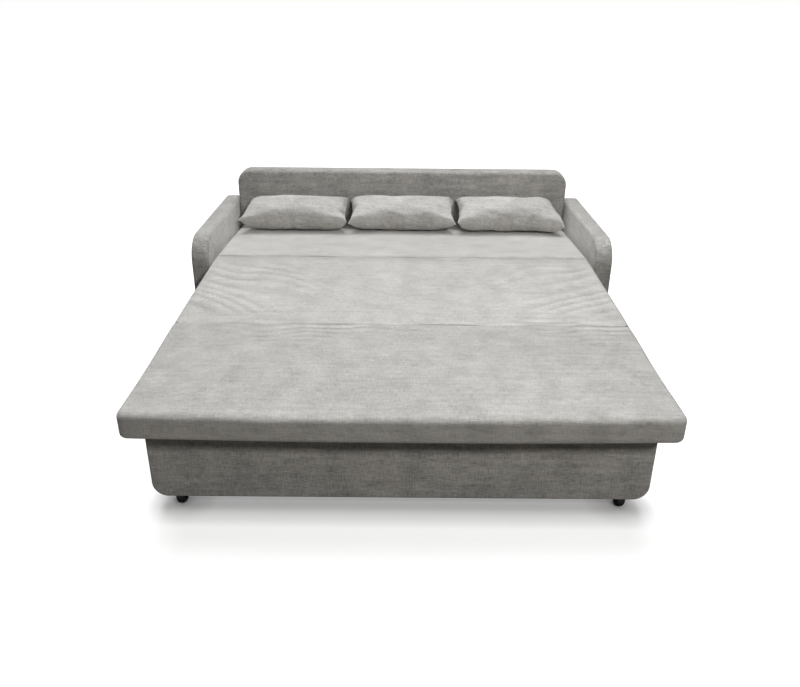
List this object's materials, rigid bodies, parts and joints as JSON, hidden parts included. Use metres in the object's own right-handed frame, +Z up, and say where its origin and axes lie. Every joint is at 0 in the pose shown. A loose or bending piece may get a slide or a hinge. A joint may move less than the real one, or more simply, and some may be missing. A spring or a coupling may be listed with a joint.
{
  "type": "sleeper sofa",
  "caption": "Low sleeper sofa opened into a bed: folding upholstered sections with a castored front plinth, low arms, a back panel and loose back cushions.",
  "frame": {"origin": "on the floor, midway between the sides and midway between the front edge of the bed and the rear of the back panel", "axes": "+X across the sofa to the right seen from the front, +Y from the front edge to the back panel, +Z up"},
  "size_m": [1.79, 1.992, 0.71],
  "materials": {
    "chenille": "matte woven chenille, light warm grey",
    "loose_cloth": "matte woven chenille, a little lighter",
    "timber": "plain sawn",
    "steel": "black powder coat",
    "pin_steel": "plain",
    "black_plastic": "black",
    "webbing": "bent slats on tape"
  },
  "bodies": {
    "sofa_frame": {"arm_cover_left": "chenille", "arm_cover_right": "chenille", "arm_board_left": "timber", "arm_board_right": "timber", "foot_front_left": "black_plastic", "foot_front_right": "black_plastic", "foot_rear_left": "black_plastic", "foot_rear_right": "black_plastic", "back_cover": "chenille", "back_board": "timber", "back_bracket_left": "steel", "back_bracket_right": "steel"},
    "rear_section": {"rear_cushion": "chenille", "rear_slat_deck": "webbing", "back_hinge_rod": "pin_steel", "rear_rail_left": "steel", "rear_rail_right": "steel", "rear_lug_left": "steel", "rear_lug_right": "steel", "rear_apex_plate_left": "steel", "rear_apex_plate_right": "steel"},
    "middle_section": {"middle_cushion": "chenille", "middle_slat_deck": "webbing", "apex_rod": "pin_steel", "middle_rail_left": "steel", "middle_rail_right": "steel", "middle_fold_plate_left": "steel", "middle_fold_plate_right": "steel", "middle_apex_plate_left": "steel", "middle_apex_plate_right": "steel"},
    "seat_section": {"seat_cushion": "chenille", "seat_slat_deck": "webbing", "fascia_cover": "chenille", "fascia_board": "timber", "castor_rail_front": "timber", "castor_rail_rear": "timber", "seat_rail_left": "steel", "seat_rail_right": "steel", "seat_fold_plate_left": "steel", "seat_fold_plate_right": "steel", "fold_pin_left": "pin_steel", "fold_pin_right": "pin_steel", "plinth_side_left": "timber", "plinth_side_right": "timber", "castor_fork_front_left": "steel", "castor_fork_front_right": "steel", "castor_fork_rear_left": "steel", "castor_fork_rear_right": "steel"},
    "support_legs": {"support_leg_left": "steel", "support_leg_right": "steel", "leg_cross_tube": "steel"},
    "loose_cushion_left": {"back_cushion_left": "loose_cloth"},
    "loose_cushion_middle": {"back_cushion_middle": "loose_cloth"},
    "loose_cushion_right": {"back_cushion_right": "loose_cloth"},
    "wheel_front_left": {"castor_wheel_front_left": "black_plastic"},
    "wheel_front_right": {"castor_wheel_front_right": "black_plastic"},
    "wheel_rear_left": {"castor_wheel_rear_left": "black_plastic"},
    "wheel_rear_right": {"castor_wheel_rear_right": "black_plastic"}
  },
  "joints": [
    {"name": "rear_section_fold", "type": "hinge", "parent": "sofa_frame", "child": "rear_section", "pos_m": [0, 0.886, 0.43], "axis": [-1, 0, 0], "range_deg": [0, 86]},
    {"name": "middle_section_fold", "type": "hinge", "parent": "rear_section", "child": "middle_section", "pos_m": [0, 0.2725, 0.35231], "axis": [1, 0, 0], "range_deg": [0, 172]},
    {"name": "seat_section_fold", "type": "hinge", "parent": "middle_section", "child": "seat_section", "pos_m": [0, -0.341, 0.43], "axis": [-1, 0, 0], "range_deg": [0, 86]},
    {"name": "support_leg_swing", "type": "hinge", "parent": "middle_section", "child": "support_legs", "pos_m": [0, 0.2725, 0.35231], "axis": [-1, 0, 0], "range_deg": [0, 86]},
    {"name": "cushion_carry_left", "type": "hinge", "parent": "middle_section", "child": "loose_cushion_left", "pos_m": [0, 0.24505, 0.05551], "axis": [1, 0, 0], "range_deg": [0, 94]},
    {"name": "cushion_carry_middle", "type": "hinge", "parent": "middle_section", "child": "loose_cushion_middle", "pos_m": [0, 0.24505, 0.05551], "axis": [1, 0, 0], "range_deg": [0, 94]},
    {"name": "cushion_carry_right", "type": "hinge", "parent": "middle_section", "child": "loose_cushion_right", "pos_m": [0, 0.24505, 0.05551], "axis": [1, 0, 0], "range_deg": [0, 94]},
    {"name": "castor_spin_front_left", "type": "hinge", "parent": "seat_section", "child": "wheel_front_left", "pos_m": [-0.709, -0.7947, 0.032], "axis": [1, 0, 0], "continuous": true},
    {"name": "castor_spin_front_right", "type": "hinge", "parent": "seat_section", "child": "wheel_front_right", "pos_m": [0.709, -0.7947, 0.032], "axis": [1, 0, 0], "continuous": true},
    {"name": "castor_spin_rear_left", "type": "hinge", "parent": "seat_section", "child": "wheel_rear_left", "pos_m": [-0.709, -0.392, 0.032], "axis": [1, 0, 0], "continuous": true},
    {"name": "castor_spin_rear_right", "type": "hinge", "parent": "seat_section", "child": "wheel_rear_right", "pos_m": [0.709, -0.392, 0.032], "axis": [1, 0, 0], "continuous": true}
  ],
  "couplings": [
    {"joint": "middle_section_fold", "follows": "rear_section_fold", "ratio": 2},
    {"joint": "seat_section_fold", "follows": "rear_section_fold", "ratio": 1},
    {"joint": "support_leg_swing", "follows": "rear_section_fold", "ratio": 1},
    {"joint": "cushion_carry_left", "follows": "rear_section_fold", "ratio": 1.093},
    {"joint": "cushion_carry_middle", "follows": "rear_section_fold", "ratio": 1.093},
    {"joint": "cushion_carry_right", "follows": "rear_section_fold", "ratio": 1.093}
  ]
}
